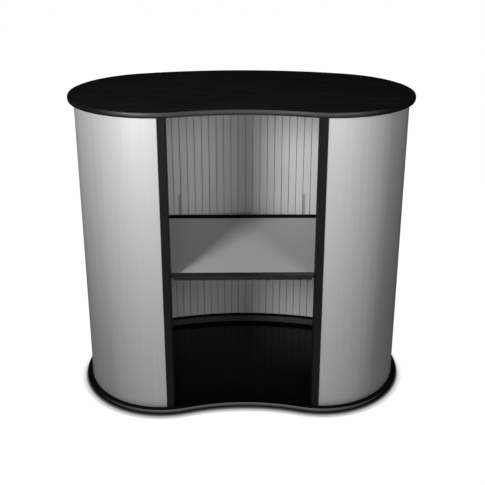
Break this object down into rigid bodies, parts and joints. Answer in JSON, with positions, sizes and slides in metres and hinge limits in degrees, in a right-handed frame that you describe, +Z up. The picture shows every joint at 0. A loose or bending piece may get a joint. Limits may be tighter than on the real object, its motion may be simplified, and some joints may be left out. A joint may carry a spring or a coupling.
{
  "type": "curved display counter",
  "caption": "Kidney-shaped display counter: a slatted wrap between a base board and a lift-off top, with posts at the open front and a lift-out shelf.",
  "frame": {"origin": "middle of the footprint, on the floor", "axes": "+Z up, -Y towards the open front, +X to the right seen from the front"},
  "size_m": [1.0499, 0.588, 0.965],
  "materials": {
    "base_board": "gloss black laminate",
    "top_board": "satin black wood-grain laminate",
    "edging": "satin black moulding",
    "curb": "painted black",
    "tape": "woven black loop tape",
    "post": "matte black powder coat",
    "plug": "moulded",
    "wrap_skin": "satin silver laminate sheet",
    "slats": "grey foil-wrapped slats",
    "shelf_panel": "grey laminate",
    "shelf_rail": "gloss black",
    "dowel": "bare beech",
    "steel": "zinc plated",
    "hanger": "grey powder coat",
    "black_steel": "blackened",
    "glide": "moulded nylon"
  },
  "bodies": {
    "stand": {"base_board": "base_board", "base_edging": "edging", "base_glides": "glide", "glide_screws": "steel", "base_curb": "curb", "base_curb_screws": "black_steel", "base_curb_tape": "tape", "left_post": "post", "right_post": "post", "post_screws": "steel", "post_top_plugs": "plug", "locating_pins": "steel", "wrap_skin": "wrap_skin", "wrap_slats": "slats", "front_shelf_pins": "black_steel", "rear_shelf_hangers": "hanger", "hanger_screws": "hanger"},
    "shelf": {"shelf_panel": "shelf_panel", "shelf_front_rail": "shelf_rail", "shelf_rear_rail": "shelf_rail", "shelf_dowels": "dowel"},
    "top": {"countertop": "top_board", "countertop_edging": "edging", "top_curb": "curb", "top_curb_screws": "black_steel", "top_curb_tape": "tape", "pin_sockets": "steel"}
  },
  "joints": [
    {"name": "top_lift", "type": "slide", "parent": "stand", "child": "top", "axis": [0, 0, 1], "range_m": [0, 0.1]},
    {"name": "shelf_lift", "type": "slide", "parent": "stand", "child": "shelf", "axis": [0, 0, 1], "range_m": [0, 0.06]}
  ]
}
